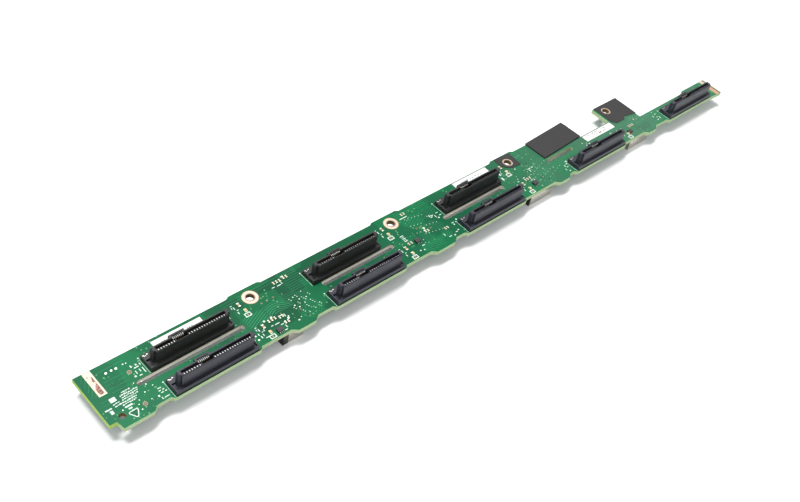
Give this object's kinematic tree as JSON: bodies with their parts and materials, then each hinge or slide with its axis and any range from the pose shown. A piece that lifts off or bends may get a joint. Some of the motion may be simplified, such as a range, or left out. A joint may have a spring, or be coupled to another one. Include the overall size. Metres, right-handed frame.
{
  "type": "drive backplane board",
  "caption": "Long stepped server backplane board with upright 2.5 inch drive sockets in two rows on one side and shielded cable ports on the other",
  "frame": {"origin": "middle of the board's length, half-way between the front rail and the rearmost edge of the wide film, on the surface the ports rest on", "axes": "+X along the board from the end with the two-row columns to the narrow end, +Y from the front rail to the rear edge, +Z out of the side with the drive sockets"},
  "size_m": [0.4306, 0.0346, 0.018],
  "materials": {
    "board_mask": "green solder mask on glass-fibre laminate",
    "socket_plastic": "moulded liquid crystal polymer",
    "contact_alloy": "plated copper alloy",
    "tinned_sheet": "tinned",
    "plated_copper": "plated copper land",
    "film": "dark insulating film",
    "label_paper": "plain white label",
    "lamp_lens": "clear lens on a white case",
    "resistor_body": "chip resistor",
    "capacitor_body": "chip capacitor",
    "chip_body": "moulded epoxy",
    "port_steel": "plated steel shell",
    "port_plastic": "moulded",
    "header_plastic": "moulded",
    "coil_body": "moulded ferrite",
    "bulk_body": "moulded tantalum capacitor"
  },
  "bodies": {
    "root": {"board": "board_mask", "drive_socket_1": "socket_plastic", "socket_contacts_1": "contact_alloy", "drive_socket_2": "socket_plastic", "socket_contacts_2": "contact_alloy", "drive_socket_3": "socket_plastic", "socket_contacts_3": "contact_alloy", "drive_socket_4": "socket_plastic", "socket_contacts_4": "contact_alloy", "drive_socket_5": "socket_plastic", "socket_contacts_5": "contact_alloy", "drive_socket_6": "socket_plastic", "socket_contacts_6": "contact_alloy", "drive_socket_7": "socket_plastic", "socket_contacts_7": "contact_alloy", "drive_socket_8": "socket_plastic", "socket_contacts_8": "contact_alloy", "board_locks": "tinned_sheet", "hole_lands": "plated_copper", "ground_strip_left": "plated_copper", "ground_strip_right": "plated_copper", "film_wide": "film", "film_hole": "film", "film_tab": "film", "label_1": "label_paper", "label_2": "label_paper", "label_3": "label_paper", "signal_lamps": "lamp_lens", "lamp_resistors": "resistor_body", "chip_capacitors": "capacitor_body", "control_chips": "chip_body", "control_chip_leads": "tinned_sheet", "port_shell_1": "port_steel", "port_tongue_1": "port_plastic", "port_contacts_1": "contact_alloy", "port_shell_2": "port_steel", "port_tongue_2": "port_plastic", "port_contacts_2": "contact_alloy", "port_shell_3": "port_steel", "port_tongue_3": "port_plastic", "port_contacts_3": "contact_alloy", "power_header": "header_plastic", "power_pins": "contact_alloy", "filter_coils": "coil_body", "bulk_capacitors": "bulk_body", "controller_chip": "chip_body", "controller_leads": "tinned_sheet"}
  },
  "joints": []
}
